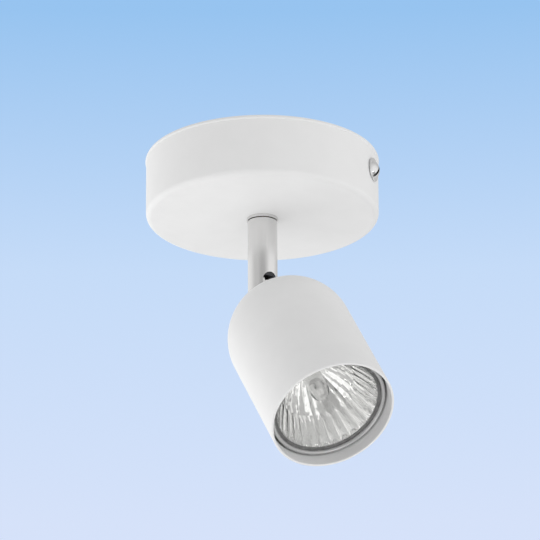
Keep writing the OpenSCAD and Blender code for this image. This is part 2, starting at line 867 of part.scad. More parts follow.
module lampholder() {
    color("white") in_head() difference() {
        union() {
            translate([0, 0, ear_z]) {
                translate([-holder_w / 2, -(holder_l - holder_w) / 2, 0])
                    cube([holder_w, holder_l - holder_w, holder_ear_h]);
                for (side = [-1, 1]) translate([0, side * (holder_l - holder_w) / 2, 0])
                    cylinder(d = holder_w, h = holder_ear_h);
            }
            translate([-holder_back_w / 2, -holder_back_l / 2, back_z])
                cube([holder_back_w, holder_back_l, holder_back_h + past]);
        }
        for (side = [-1, 1]) translate([0, side * holder_screw_pitch / 2, 0]) {
            translate([0, 0, ear_z - past]) cylinder(d = holder_screw_d, h = holder_ear_h + 2 * past);
            translate([0, 0, holder_face - holder_bore_h])
                cylinder(d = holder_head_d + hole_play, h = holder_bore_h + past);
        }
        for (side = [0, 180]) rotate([0, 0, side]) {
            pin_channel(pin_neck_d + hole_play, socket_floor, holder_face + past);
            pin_channel(pin_head_d + hole_play, socket_floor, holder_face - socket_lip);
            rotate([0, 0, unlock_turn]) translate([pin_pitch / 2, 0, socket_floor])
                cylinder(d = pin_head_d + hole_play, h = holder_face - socket_floor + past);
            translate([terminal_x - tail_w / 2, -tail_t / 2, tail_z])
                cube([tail_w, tail_t, socket_floor - back_z]);
            translate([terminal_x, 0, back_z - past])
                cylinder(d = lead_d + lead_play, h = tail_z - back_z + past);
        }
        translate([0, 0, back_z - past]) cylinder(d = rivet_d, h = rivet_l + past);
    }
}

module holder_cover() {
    color("tan") in_head() translate([0, 0, cover_z]) difference() {
        translate([-holder_back_w / 2, -holder_back_l / 2, 0])
            cube([holder_back_w, holder_back_l, cover_t]);
        for (side = [-1, 1]) translate([side * terminal_x, 0, -past])
            cylinder(d = lead_d + lead_play, h = cover_t + 2 * past);
        translate([0, 0, -past]) cylinder(d = rivet_d, h = cover_t + 2 * past);
    }
}

module cover_rivet() {
    color("silver") in_head() {
        translate([0, 0, cover_z]) cylinder(d = rivet_d, h = cover_t + rivet_l);
        translate([0, 0, cover_z - rivet_head_h]) cylinder(d = rivet_head_d, h = rivet_head_h);
    }
}

module holder_contacts() {
    color("goldenrod") in_head() for (side = [0, 180]) rotate([0, 0, side]) {
        pin_channel(contact_w, socket_floor, socket_floor + contact_t);
        translate([terminal_x - tail_w / 2, -tail_t / 2, tail_z])
            cube([tail_w, tail_t, socket_floor - back_z]);
    }
}

module holder_screws() {
    color("silver") in_head() for (side = [-1, 1])
        translate([0, side * holder_screw_pitch / 2, holder_face - holder_bore_h])
            slotted_screw(holder_screw_d, holder_ear_h - holder_bore_h + strap_t + holder_screw_past,
                holder_head_d, holder_head_h, holder_slot_w);
}

module head_lead(side) {
    straight_z = neck_end - neck_past;
    bend = (cover_z - straight_z) / 2;
    in_head() swept_tube(concat([[side * lead_x, 0, -ball_r / 2]],
        curve([side * lead_x, 0, straight_z], [side * lead_x, 0, straight_z + bend],
            [side * terminal_x, 0, cover_z - bend], [side * terminal_x, 0, cover_z], 8),
        [[side * terminal_x, 0, tail_z]]), lead_d, 10, [0, 1, 0]);
}

module head_live_lead() {
    color("brown") head_lead(1);
}

module head_neutral_lead() {
    color("blue") head_lead(-1);
}

module bulb_pins() {
    neck_l = pin_l - pin_head_l + pin_root;
    color("silver") in_head() for (side = [-1, 1]) translate([side * pin_pitch / 2, 0, base_z - pin_l]) {
        translate([0, 0, pin_head_l]) cylinder(d = pin_neck_d, h = neck_l);
        cylinder(d = pin_head_d, h = pin_head_l);
    }
}

module bulb_base() {
    color("white") in_head() difference() {
        translate([0, 0, base_z]) rotate_extrude()
            polygon([[0, 0], [base_r - base_edge, 0], [base_r, base_edge], [base_r, base_foot],
                [base_r - base_taper, base_h], [0, base_h]]);
        translate([0, 0, base_z + base_h - reflector_neck_l])
            cylinder(r = reflector_neck_r, h = reflector_neck_l + past);
        for (side = [-1, 1]) translate([side * pin_pitch / 2, 0, base_z - past])
            cylinder(d = pin_neck_d, h = pin_root + past);
        translate([-pinch_w / 2 - pinch_room, -pinch_t / 2, base_z + pin_root])
            cube([pinch_w + 2 * pinch_room, pinch_t, base_h]);
    }
}

function bowl_z_at(r) = bowl_z + (glass_z - bowl_z) * (r * r - bowl_low_r * bowl_low_r)
    / (bowl_r * bowl_r - bowl_low_r * bowl_low_r);

function row_r(i) = i <= facet_rows ? bowl_low_r + (flute_from - bowl_low_r) * i / facet_rows
    : flute_from + (bowl_r - flute_from) * (i - facet_rows) / flute_rows;
function row_turn(i) = min(i, facet_rows) * 180 / facets;

// Inside of the reflector: rows of small facets below, long flutes above
module faceted_bowl() {
    rows = facet_rows + flute_rows;
    points = [for (i = [0 : rows], k = [0 : facets - 1])
        let (a = row_turn(i) + 360 * k / facets)
        [row_r(i) * cos(a), row_r(i) * sin(a), bowl_z_at(row_r(i))]];
    facets_low = [for (i = [0 : facet_rows - 1], k = [0 : facets - 1])
        let (m = (k + 1) % facets, low = i * facets, high = low + facets)
        each [[low + k, high + k, low + m], [low + m, high + k, high + m]]];
    flutes = [for (i = [facet_rows : rows - 1], k = [0 : facets - 1])
        let (m = (k + 1) % facets, low = i * facets, high = low + facets)
        [low + k, high + k, high + m, low + m]];
    floor = [[for (k = [0 : facets - 1]) k]];
    lid = [[for (k = [facets - 1 : -1 : 0]) rows * facets + k]];
    polyhedron(points, concat(facets_low, flutes, floor, lid), convexity = 6);
}

module reflector_outline() {
    steps = 12;
    shell_top = rim_front - rim_h;
    low = base_z + base_h - reflector_neck_l;
    polygon(concat([[0, low], [reflector_neck_r, low], [reflector_neck_r, bowl_z - shell_foot]],
        [for (i = [1 : steps]) let (r = bowl_low_r + (bowl_r - bowl_low_r) * i / steps)
            [r + reflector_wall, bowl_z_at(r) - reflector_wall]],
        [[bulb_d / 2, shell_top + reflector_wall]],
        [for (a = [0 : 15 : 90]) [bulb_d / 2, rim_front]
            - rim_round * [1 - cos(a), 1 - sin(a)]],
        [[0, rim_front]]));
}

module bulb_reflector() {
    color("lightsteelblue") in_head() difference() {
        rotate_extrude($fn = 128) difference() {
            reflector_outline();
            translate([0, glass_z]) square([glass_d / 2, glass_t]);
            translate([0, glass_z + glass_t]) polygon([[0, 0], [glass_d / 2, 0],
                [glass_d / 2 + rim_flare, glass_depth], [glass_d / 2 + rim_flare, glass_depth + past],
                [0, glass_depth + past]]);
        }
        faceted_bowl();
        cylinder(r = capsule_r + capsule_room, h = bowl_z + past);
        translate([0, 0, glass_z - sliver]) cylinder(r = bowl_r - glass_ledge / 2, h = past);
    }
}

module bulb_cover_glass() {
    color("lightblue") in_head() translate([0, 0, glass_z]) cylinder(d = glass_d, h = glass_t, $fn = 128);
}

module capsule_outline(r, l, tip_d, tip_h) {
    intersection() {
        square([r, l + tip_h]);
        union() {
            square([r, l - r]);
            translate([0, l - r]) circle(r);
            square([tip_d / 2, l + tip_h]);
        }
    }
}

module bulb_capsule() {
    color("lightblue") in_head() difference() {
        union() {
            translate([0, 0, capsule_z]) rotate_extrude()
                capsule_outline(capsule_r, capsule_l, capsule_tip_d, capsule_tip_h);
            translate([-pinch_w / 2, -pinch_t / 2, pinch_z]) cube([pinch_w, pinch_t, pinch_h]);
        }
        translate([0, 0, capsule_z + capsule_foot]) rotate_extrude()
            capsule_outline(capsule_r - capsule_wall, capsule_l - capsule_foot - capsule_wall,
                2 * filament_wire, 0);
    }
}

module bulb_filament() {
    steps = 10;
    low = capsule_z + capsule_foot;
    high = filament_z;
    reach = filament_turns * filament_pitch / 4;
    coil = [for (i = [0 : filament_turns * steps]) [
        (i / steps - filament_turns / 2) * filament_pitch / 2,
        filament_r * sin(360 * i / steps), high + filament_r * cos(360 * i / steps)]];
    leg = [[reach + filament_foot, 0, low], [reach + filament_foot, 0, high - 2 * filament_wire]];
    color("gray") in_head() swept_tube(concat([for (p = leg) [-p[0], 0, p[2]]], coil,
        [leg[1], leg[0]]), filament_wire, 6, [1, 0.2, 0.1]);
}

// Wires from the pins' inner ends up to the capsule's flat foot
module bulb_supports() {
    foot_x = pin_pitch / 2 - pin_neck_d / 4;
    rise = pinch_z - base_z - pin_root;
    color("silver") in_head() for (side = [-1, 1]) translate([0, 0, base_z + pin_root])
        swept_tube([[side * foot_x, 0, 0], [side * foot_x, 0, rise / 4],
            [side * support_x, 0, rise * 3 / 4], [side * support_x, 0, rise]], support_d, 10, [0, 1, 0]);
}

canopy();
ceiling_bracket();
side_screws();
terminal_block();
clamp_sleeves();
clamp_screws();
block_screw();
earth_screw();
earth_washer();
earth_tag();
earth_lead();
canopy_live_lead();
canopy_neutral_lead();
slide_washer();
stop_pin();
stem_collar();
stem_nipple();
nipple_nut();
split_washer();
stop_washer();
stem_plug();
stem_tube();
ball_spring();
ball_cup();
stem_live_lead();
stem_neutral_lead();
swivel_ball();
shade();
dome_washer();
holder_strap();
neck_washer();
neck_nut();
lampholder();
holder_cover();
cover_rivet();
holder_contacts();
holder_screws();
head_live_lead();
head_neutral_lead();
bulb_pins();
bulb_base();
bulb_reflector();
bulb_cover_glass();
bulb_capsule();
bulb_filament();
bulb_supports();
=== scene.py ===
import json
import math

import bmesh
import bpy
from mathutils import Matrix, Vector


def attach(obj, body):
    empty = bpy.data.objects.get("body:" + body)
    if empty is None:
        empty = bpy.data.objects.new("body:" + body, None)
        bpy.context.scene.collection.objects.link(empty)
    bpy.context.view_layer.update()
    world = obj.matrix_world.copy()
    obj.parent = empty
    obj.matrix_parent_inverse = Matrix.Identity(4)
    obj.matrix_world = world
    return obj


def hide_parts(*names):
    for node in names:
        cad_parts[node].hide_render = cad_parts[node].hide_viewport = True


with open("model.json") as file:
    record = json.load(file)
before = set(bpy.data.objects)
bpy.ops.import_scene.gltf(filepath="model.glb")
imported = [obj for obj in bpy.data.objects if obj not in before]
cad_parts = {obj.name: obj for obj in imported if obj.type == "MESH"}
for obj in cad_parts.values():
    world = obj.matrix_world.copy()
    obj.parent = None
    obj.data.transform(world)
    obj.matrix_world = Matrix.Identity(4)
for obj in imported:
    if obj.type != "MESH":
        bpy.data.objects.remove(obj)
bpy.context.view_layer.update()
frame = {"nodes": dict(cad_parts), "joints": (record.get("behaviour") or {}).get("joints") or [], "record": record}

MM = 0.001

# Camera: the photograph's view, from below and in front of the lamp
CAMERA_AZIMUTH = -33.6
CAMERA_ELEVATION = -21.89
CAMERA_DISTANCE = 1.938
CAMERA_ROLL = -0.32
CAMERA_LENS = 301.7
SENSOR = 36.0
CAMERA_REACH = 100
ORBIT_HEIGHT = -0.040
AIM_RIGHT = 0.00313
AIM_HEIGHT = -0.05055

# Stage
BACKDROP_RADIUS = 6.0
BACKDROP_ROUNDS = 96
BACKDROP_ROWS = 48
FLOOR_HEIGHT = -2.6
FLOOR_RADIUS = 5.4
FLOOR_ROUNDS = 128
# The backdrop's colours against its normal's height, which points down where the sphere is high
SKY_HIGH, SKY_LOW = -0.43, -0.29
SKY_COLOURS = ((0.31, 0.55, 0.87, 1), (0.56, 0.712, 0.939, 1), (0.67, 0.76, 0.95, 1))


def camera_axes():
    """The camera's direction from the lamp, and its right, in the plane of the floor."""
    azimuth = math.radians(CAMERA_AZIMUTH)
    back = Vector((math.sin(azimuth), -math.cos(azimuth), 0))
    right = Vector((math.cos(azimuth), math.sin(azimuth), 0))
    return back, right


def in_view(aside, nearer, up):
    """A place in the camera's terms: to its right, towards it, and up."""
    back, right = camera_axes()
    return aside * right + nearer * back + Vector((0, 0, up))


def make_camera():
    """Places the camera on its orbit, aims it and rolls it as in the photograph."""
    back, right = camera_axes()
    elevation = math.radians(CAMERA_ELEVATION)
    place = CAMERA_DISTANCE * (back * math.cos(elevation) + Vector((0, 0, math.sin(elevation))))
    place.z += ORBIT_HEIGHT
    aim = AIM_RIGHT * right + Vector((0, 0, AIM_HEIGHT))
    ahead = (aim - place).normalized()
    side = ahead.cross(Vector((0, 0, 1))).normalized()
    above = side.cross(ahead)
    roll = math.radians(CAMERA_ROLL)
    side, above = (math.cos(roll) * side + math.sin(roll) * above,
                   math.cos(roll) * above - math.sin(roll) * side)
    camera = bpy.data.objects.new("camera", bpy.data.cameras.new("camera"))
    turn = Matrix((side, above, -ahead)).transposed()
    camera.matrix_world = Matrix.Translation(place) @ turn.to_4x4()
    camera.data.lens = CAMERA_LENS
    camera.data.sensor_width = SENSOR
    camera.data.clip_end = CAMERA_REACH
    bpy.context.scene.collection.objects.link(camera)
    bpy.context.scene.camera = camera


NOISE_DETAIL = 3.0


class Finish:
    """A Principled material and short calls for the nodes that lead to it."""

    def __init__(self, name, colour, roughness, metallic=0.0):
        self.material = bpy.data.materials.new(name)
        self.material.use_nodes = True
        self.nodes = self.material.node_tree.nodes
        self.links = self.material.node_tree.links
        self.shader = self.nodes["Principled BSDF"]
        self.shader.inputs["Base Color"].default_value = (*colour, 1)
        self.shader.inputs["Roughness"].default_value = roughness
        self.shader.inputs["Metallic"].default_value = metallic
        self.colour = colour
        self.roughness = roughness

    def add(self, kind, **values):
        made = self.nodes.new(kind)
        for key, value in values.items():
            setattr(made, key, value)
        return made

    def place(self, stretch=(1, 1, 1)):
        """The point in the object's own frame, in metres, stretched."""
        where = self.add("ShaderNodeTexCoord")
        mapping = self.add("ShaderNodeMapping")
        mapping.inputs["Scale"].default_value = stretch
        self.links.new(where.outputs["Object"], mapping.inputs["Vector"])
        return mapping.outputs["Vector"]

    def noise(self, size, stretch=(1, 1, 1)):
        """Noise whose features are about this size, in metres."""
        made = self.add("ShaderNodeTexNoise")
        made.inputs["Scale"].default_value = 1 / size
        made.inputs["Detail"].default_value = NOISE_DETAIL
        self.links.new(self.place(stretch), made.inputs["Vector"])
        return made.outputs["Fac"]

    def spread(self, value, low, high, start=0.3, end=0.7):
        """A value from start to end, spread from low to high."""
        made = self.add("ShaderNodeMapRange")
        for key, number in (("From Min", start), ("From Max", end), ("To Min", low), ("To Max", high)):
            made.inputs[key].default_value = number
        self.links.new(value, made.inputs["Value"])
        return made.outputs["Result"]

    def tint(self, value, depth):
        """Darkens the base colour by up to this share, by the value."""
        mix = self.add("ShaderNodeMix", data_type="RGBA")
        mix.inputs["A"].default_value = (*self.colour, 1)
        mix.inputs["B"].default_value = (*[c * (1 - depth) for c in self.colour], 1)
        self.links.new(self.spread(value, 0, 1), mix.inputs["Factor"])
        self.links.new(mix.outputs["Result"], self.shader.inputs["Base Color"])

    def vary(self, value, change):
        """Spreads the roughness by this much each way."""
        made = self.spread(value, self.roughness - change, self.roughness + change)
        self.links.new(made, self.shader.inputs["Roughness"])

    def bump(self, value, height, strength=1.0):
        made = self.add("ShaderNodeBump")
        made.inputs["Distance"].default_value = height
        made.inputs["Strength"].default_value = strength
        self.links.new(value, made.inputs["Height"])
        self.links.new(made.outputs["Normal"], self.shader.inputs["Normal"])

    def set(self, **values):
        for key, value in values.items():
            self.shader.inputs[key.replace("_", " ")].default_value = value
        return self


def powder_coat():
    made = Finish("white_powder_coat", (0.86, 0.86, 0.86), 0.5)
    grain = made.noise(0.5 * MM)
    made.tint(made.noise(9 * MM), 0.02)
    made.vary(grain, 0.06)
    made.bump(grain, 0.008 * MM, 0.5)
    return made.material


def satin_nickel():
    made = Finish("satin_nickel", (0.75, 0.745, 0.74), 0.22, 1)
    drawn = made.noise(0.5 * MM, (1, 1, 0.03))
    made.tint(drawn, 0.03)
    made.vary(drawn, 0.04)
    made.bump(drawn, 0.001 * MM, 0.5)
    return made.material


def polished_ball():
    """Turned and polished, with fine marks of its seat round it."""
    made = Finish("polished_ball", (0.88, 0.88, 0.87), 0.22, 0.7)
    marks = made.noise(0.9 * MM, (0.3, 0.3, 1))
    made.tint(marks, 0.06)
    made.vary(marks, 0.05)
    made.bump(marks, 0.001 * MM, 0.4)
    return made.material


def chrome():
    made = Finish("chrome", (0.74, 0.74, 0.74), 0.07, 1)
    cloud = made.noise(1.2 * MM)
    made.tint(cloud, 0.04)
    made.vary(cloud, 0.02)
    made.bump(made.noise(0.4 * MM), 0.001 * MM, 0.4)
    return made.material


def zinc():
    made = Finish("zinc_plated_steel", (0.66, 0.67, 0.69), 0.34, 1)
    cloud = made.noise(2.5 * MM)
    made.tint(cloud, 0.16)
    made.vary(cloud, 0.08)
    made.bump(made.noise(0.3 * MM), 0.003 * MM, 0.6)
    return made.material


def brass():
    made = Finish("brass", (0.72, 0.53, 0.24), 0.26, 1)
    made.tint(made.noise(1.5 * MM), 0.18)
    turned = made.noise(0.25 * MM, (0.2, 0.2, 1))
    made.vary(turned, 0.07)
    made.bump(turned, 0.002 * MM, 0.6)
    return made.material


def moulded(name, colour, roughness, mottle=0.05, subsurface=0.0):
    made = Finish(name, colour, roughness)
    made.tint(made.noise(3 * MM), mottle)
    grain = made.noise(0.25 * MM)
    made.vary(grain, 0.06)
    made.bump(grain, 0.004 * MM, 0.5)
    if subsurface:
        made.set(Subsurface_Weight=subsurface, Subsurface_Scale=0.6 * MM)
    return made.material


EARTH_GREEN = (0.16, 0.42, 0.04)
EARTH_YELLOW = (0.75, 0.68, 0.03)
EARTH_STRIPES = 420


def earth_stripes():
    """Green insulation with yellow stripes along the lead."""
    made = Finish("earth_insulation", EARTH_GREEN, 0.45)
    wave = made.add("ShaderNodeTexWave", wave_type="BANDS", bands_direction="Y")
    wave.inputs["Scale"].default_value = EARTH_STRIPES
    wave.inputs["Distortion"].default_value = 0.4
    made.links.new(made.place(), wave.inputs["Vector"])
    mix = made.add("ShaderNodeMix", data_type="RGBA")
    mix.inputs["A"].default_value = (*EARTH_GREEN, 1)
    mix.inputs["B"].default_value = (*EARTH_YELLOW, 1)
    made.links.new(made.spread(wave.outputs["Fac"], 0, 1, 0.45, 0.55), mix.inputs["Factor"])
    made.links.new(mix.outputs["Result"], made.shader.inputs["Base Color"])
    made.bump(made.noise(0.4 * MM), 0.004 * MM)
    return made.material


def mirror_coat():
    made = Finish("mirrored_glass", (0.91, 0.91, 0.905), 0.045, 1)
    cloud = made.noise(2.0 * MM)
    made.tint(cloud, 0.04)
    made.vary(cloud, 0.02)
    made.bump(made.noise(1.4 * MM), 0.002 * MM, 0.5)
    return made.material


def pressed_glass():
    """The reflector's thick rim: grey glass, lit through its mirrored back."""
    made = Finish("pressed_glass_rim", (0.5, 0.5, 0.5), 0.16, 0.35)
    cloud = made.noise(3.0 * MM)
    made.tint(cloud, 0.08)
    made.vary(cloud, 0.04)
    made.bump(made.noise(0.8 * MM), 0.003 * MM, 0.5)
    return made.set(Coat_Weight=0.6, Coat_Roughness=0.05).material


def glass_cement():
    made = Finish("glass_cement", (0.45, 0.45, 0.45), 0.25)
    made.tint(made.noise(1.5 * MM), 0.3)
    made.vary(made.noise(0.8 * MM), 0.1)
    made.bump(made.noise(0.6 * MM), 0.01 * MM, 0.6)
    return made.material


def clear_glass():
    made = Finish("clear_glass", (0.99, 0.99, 0.985), 0.02)
    made.vary(made.noise(4 * MM), 0.01)
    made.bump(made.noise(3 * MM), 0.004 * MM, 0.5)
    return made.set(Transmission_Weight=1.0, IOR=1.46).material


def capsule_glass():
    """Stands for a thin-walled capsule: it hardly bends the light, and shines like glass."""
    made = Finish("capsule_glass", (0.99, 0.99, 0.985), 0.02)
    made.vary(made.noise(2 * MM), 0.01)
    made.bump(made.noise(1.1 * MM), 0.05 * MM, 0.8)
    return made.set(Transmission_Weight=0.92, IOR=1.1, Coat_Weight=1.0, Coat_Roughness=0.02).material


def mica():
    made = Finish("mica", (0.56, 0.47, 0.33), 0.35)
    made.tint(made.noise(1.2 * MM, (1, 1, 3)), 0.35)
    made.vary(made.noise(0.6 * MM), 0.12)
    made.bump(made.noise(0.8 * MM), 0.006 * MM)
    return made.material


def wire(name, colour, roughness):
    made = Finish(name, colour, roughness, 1)
    drawn = made.noise(0.2 * MM, (1, 1, 0.1))
    made.tint(drawn, 0.12)
    made.vary(drawn, 0.05)
    made.bump(drawn, 0.002 * MM)
    return made.material


FINISHES = {
    "white_powder_coat": powder_coat(),
    "satin_nickel": satin_nickel(),
    "chrome": chrome(),
    "zinc_plated_steel": zinc(),
    "brass": brass(),
    "ivory_plastic": moulded("ivory_plastic", (0.84, 0.8, 0.68), 0.4, subsurface=0.1),
    "dark_nylon": moulded("dark_nylon", (0.045, 0.045, 0.05), 0.42),
    "ceramic": moulded("ceramic", (0.86, 0.84, 0.78), 0.62, 0.07, 0.1),
    "mica": mica(),
    "brown_insulation": moulded("brown_insulation", (0.2, 0.085, 0.035), 0.45),
    "blue_insulation": moulded("blue_insulation", (0.03, 0.16, 0.5), 0.45),
    "earth_insulation": earth_stripes(),
    "nickel_wire": wire("nickel_wire", (0.66, 0.64, 0.6), 0.25),
    "mirrored_glass": mirror_coat(),
    "pressed_glass_rim": pressed_glass(),
    "glass_cement": glass_cement(),
    "capsule_glass": capsule_glass(),
    "clear_glass": clear_glass(),
    # Near-black finish for the faces inside the screw slots: painted shade in the slots
    "painted_slot_shade": wire("painted_slot_shade", (0.09, 0.09, 0.09), 0.4),
    "tungsten": wire("tungsten", (0.24, 0.24, 0.26), 0.35),
}

SPECIAL_FINISHES = {"swivel_ball": polished_ball()}
NODE_SLOTS = {part["node"]: part["material_slot"] for part in frame["record"]["subparts"]}

for node_name, slot_name in NODE_SLOTS.items():
    cad_piece = frame["nodes"][node_name]
    cad_piece.data.materials.clear()
    cad_piece.data.materials.append(SPECIAL_FINISHES.get(node_name, FINISHES[slot_name]))


def head_matrix():
    """Frame of the head: its origin is the ball's centre, and Z runs along the beam."""
    joints = {joint["name"]: joint for joint in frame["joints"]}
    along = Vector(joints["bulb_twist"]["axis"])
    across = -Vector(joints["head_tilt"]["axis"])
    turn = Matrix((across, along.cross(across), along)).transposed()
    return Matrix.Translation(joints["head_tilt"]["pos_m"]) @ turn.to_4x4()


HEAD = head_matrix()


def head_reach(node):
    """A node's greatest radius round the beam, and its lowest and highest point along it."""
    back = HEAD.inverted()
    places = [back @ v.co for v in frame["nodes"][node].data.vertices]
    along = [p.z for p in places]
    return max(math.hypot(p.x, p.y) for p in places), min(along), max(along)


def arc(centre, radius, start, end, steps):
    """Points on an arc in the plane of radius and height, angles in degrees."""
    turns = [math.radians(start + (end - start) * i / steps) for i in range(steps + 1)]
    return [(centre[0] + radius * math.cos(t), centre[1] + radius * math.sin(t)) for t in turns]


SHARP_EDGE = math.radians(30)


def make_piece(name, rings, finish, node, body, closed=True, creases=None):
    """A mesh of rings of equal length in the head's frame, joined one after the other.

    creases holds a count of rings, the rings that stay sharp, and how many points apart
    the sharp lines across these rings run.
    """
    form = bmesh.new()
    placed = [[form.verts.new(p) for p in ring] for ring in rings]
    count = len(rings[0])
    pairs = list(zip(placed, placed[1:] + placed[:1])) if closed else list(zip(placed, placed[1:]))
    for low, high in pairs:
        for i in range(count):
            k = (i + 1) % count
            form.faces.new((low[i], low[k], high[k], high[i]))
    if not closed:
        form.faces.new(placed[0][::-1])
        form.faces.new(placed[-1])
    bmesh.ops.recalc_face_normals(form, faces=form.faces)
    for face in form.faces:
        face.smooth = True
    for edge in form.edges:
        edge.smooth = edge.calc_face_angle(0) < SHARP_EDGE
    if creases:
        reach, sharp_rings, gap = creases
        for k in range(reach):
            for i in range(count):
                if k in sharp_rings:
                    form.edges.get((placed[k][i], placed[k][(i + 1) % count])).smooth = False
                if i % gap == 0 and k + 1 < reach:
                    form.edges.get((placed[k][i], placed[k + 1][i])).smooth = False
    mesh = bpy.data.meshes.new(name)
    form.to_mesh(mesh)
    form.free()
    mesh.materials.append(finish)
    piece = bpy.data.objects.new(name, mesh)
    piece.matrix_world = HEAD
    bpy.context.scene.collection.objects.link(piece)
    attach(piece, body)
    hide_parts(node)


def turned(profile, count):
    """Rings of a turned shape, from points of radius and height."""
    angles = [math.tau * i / count for i in range(count)]
    return [[(r * math.cos(a), r * math.sin(a), z) for a in angles] for r, z in profile]


# Turned pieces: points round them, and how far from its axis a solid one starts
ROUND = 128
RIM_ROUNDS = 192
CAPSULE_ROUNDS = 64
PIN_HOLE = 0.02 * MM

# Bowl: rows of facets below, a little wider towards its foot, and long flutes above
FACETS = 32
FACET_STEPS = 8
FACET_ROWS = 4
ROW_STEPS = 4
ROW_POWER = 0.85
FACET_BULGE = 0.01 * MM
FLUTE_ROWS = 12
FLUTE_BULGE = 0.22 * MM
FLUTE_SHARE = 0.74
BOWL_LOW_R = 6.5 * MM
BOWL_R = 21.8 * MM
BOWL_LIP = 0.2 * MM
BOWL_DEPTH = 25.8 * MM
SHELL_WALL = 1.7 * MM
SHELL_STEPS = 12
HOLE_R = 5.2 * MM
NECK_R = 8.8 * MM
NECK_DROP = 2 * MM
NECK_L = 10.0 * MM

# Cover glass and its cement
GLASS_SEAT = 1.9 * MM
GLASS_T = 1.0 * MM
GLASS_R = 23.4 * MM
GLASS_BEVEL = 0.2 * MM
CEMENT_T = 0.3 * MM
CEMENT_LEDGE = 0.25 * MM

# Rim
RIM_INNER_R = 24.35 * MM
RIM_ROUND = 0.45 * MM
RIM_ROUND_STEPS = 6
RIM_HOLLOW = 1.0 * MM
HOLLOW_ANGLES = (185, 100)
HOLLOW_STEPS = 8
RIM_GAP = 0.05 * MM
RIM_LEDGE = 0.2 * MM
RIM_SKIRT = 3 * MM

# Capsule: its dome's arc ends this many degrees up, just short of the axis
CAPSULE_R = 4.1 * MM
CAPSULE_REACH = 5.6 * MM
CAPSULE_FOOT = 0.6 * MM
CAPSULE_SINK = 1 * MM
DOME_END = 89.5
DOME_STEPS = 12

# Radius of the rim and places along the beam, from the CAD bulb's rim, cover glass and capsule
BULB_R, _, RIM_FRONT = head_reach("bulb_reflector")
GLASS_BACK = RIM_FRONT - GLASS_SEAT
GLASS_FRONT = GLASS_BACK + GLASS_T
CEMENT_BACK = GLASS_BACK - CEMENT_T
BOWL_FOOT = head_reach("bulb_cover_glass")[1] - BOWL_DEPTH
BOWL_RISE = (GLASS_BACK - BOWL_FOOT) / (BOWL_R ** 2 - BOWL_LOW_R ** 2)
CAPSULE_TOP = head_reach("bulb_capsule")[2] + CAPSULE_REACH


def bowl_height(r):
    """Height of the mirror's inside at a radius."""
    return BOWL_FOOT + BOWL_RISE * (r * r - BOWL_LOW_R ** 2)


def bowl_point(r, angle):
    """A point on the mirror's inside."""
    return Vector((r * math.cos(angle), r * math.sin(angle), bowl_height(r)))


def bowl_inward(r, angle):
    """The direction that leaves the mirror's inside at a right angle."""
    slope = 2 * BOWL_RISE * r
    return Vector((-slope * math.cos(angle), -slope * math.sin(angle), 1)).normalized()


def facet_places():
    """Round the bowl: the angles of each facet's two sides, and the share of the way between."""
    step = math.tau / FACETS
    for facet in range(FACETS):
        for j in range(FACET_STEPS):
            yield step * facet, step * (facet + 1), j / FACET_STEPS


def facet_ring(low, high, v):
    """A ring through a row of facets, at a share v of the way from its low to its high radius."""
    ring = []
    for a, b, u in facet_places():
        near = bowl_point(low, a).lerp(bowl_point(low, b), u)
        far = bowl_point(high, a).lerp(bowl_point(high, b), u)
        bulge = FACET_BULGE * 4 * (u * (1 - u) + v * (1 - v))
        ring.append(near.lerp(far, v) + bulge * bowl_inward((low + high) / 2, (a + b) / 2))
    return ring


def flute_ring(r, fade):
    """A ring through the flutes, whose bulge fades out at both their ends."""
    ring = []
    for a, b, u in facet_places():
        bulge = FLUTE_BULGE * 4 * u * (1 - u) * fade
        chord = bowl_point(r, a).lerp(bowl_point(r, b), u)
        ring.append(chord + bulge * bowl_inward(r, (a + b) / 2))
    return ring


def bowl_rings():
    """The mirror's inside: rings of points from the bowl's foot to the cover glass."""
    middle = BOWL_R * FLUTE_SHARE
    rows = [BOWL_LOW_R + (middle - BOWL_LOW_R) * (i / FACET_ROWS) ** ROW_POWER
            for i in range(FACET_ROWS + 1)]
    rings = [facet_ring(low, high, k / ROW_STEPS)
             for low, high in zip(rows, rows[1:]) for k in range(ROW_STEPS)]
    for k in range(FLUTE_ROWS + 1):
        r = middle + (BOWL_R - middle) * k / FLUTE_ROWS
        rings.append(flute_ring(r, min(1, k / 2, FLUTE_ROWS - k)))
    return rings


def bowl_shell():
    """Points of radius and height on the bowl's outside, from the rim down."""
    radii = [BOWL_R + (BOWL_LOW_R - BOWL_R) * i / SHELL_STEPS for i in range(SHELL_STEPS + 1)]
    return [(r + SHELL_WALL, bowl_height(r) - SHELL_WALL) for r in radii]


def make_bowl():
    """The mirror-coated bowl, with its outside and its neck."""
    neck_top = BOWL_FOOT - NECK_DROP
    neck_end = neck_top - NECK_L
    outside = ([(BOWL_R + BOWL_LIP, GLASS_BACK)] + bowl_shell()[:-1]
               + [(NECK_R, neck_top), (NECK_R, neck_end), (HOLE_R, neck_end), (HOLE_R, BOWL_FOOT)])
    inside = bowl_rings()
    row_ends = range(0, FACET_ROWS * ROW_STEPS + 1, ROW_STEPS)
    make_piece("bulb_mirror_bowl", inside + turned(outside, FACETS * FACET_STEPS),
               FINISHES["mirrored_glass"], "bulb_reflector", "bulb_body",
               creases=(len(inside), row_ends, FACET_STEPS))


def make_cement():
    """The thin ring of cement behind the cover glass's edge."""
    inner_r = BOWL_R + CEMENT_LEDGE
    profile = [(inner_r, GLASS_BACK), (GLASS_R, GLASS_BACK), (GLASS_R, CEMENT_BACK),
               (inner_r, CEMENT_BACK)]
    make_piece("bulb_glass_cement", turned(profile, ROUND), FINISHES["glass_cement"],
               "bulb_reflector", "bulb_body")


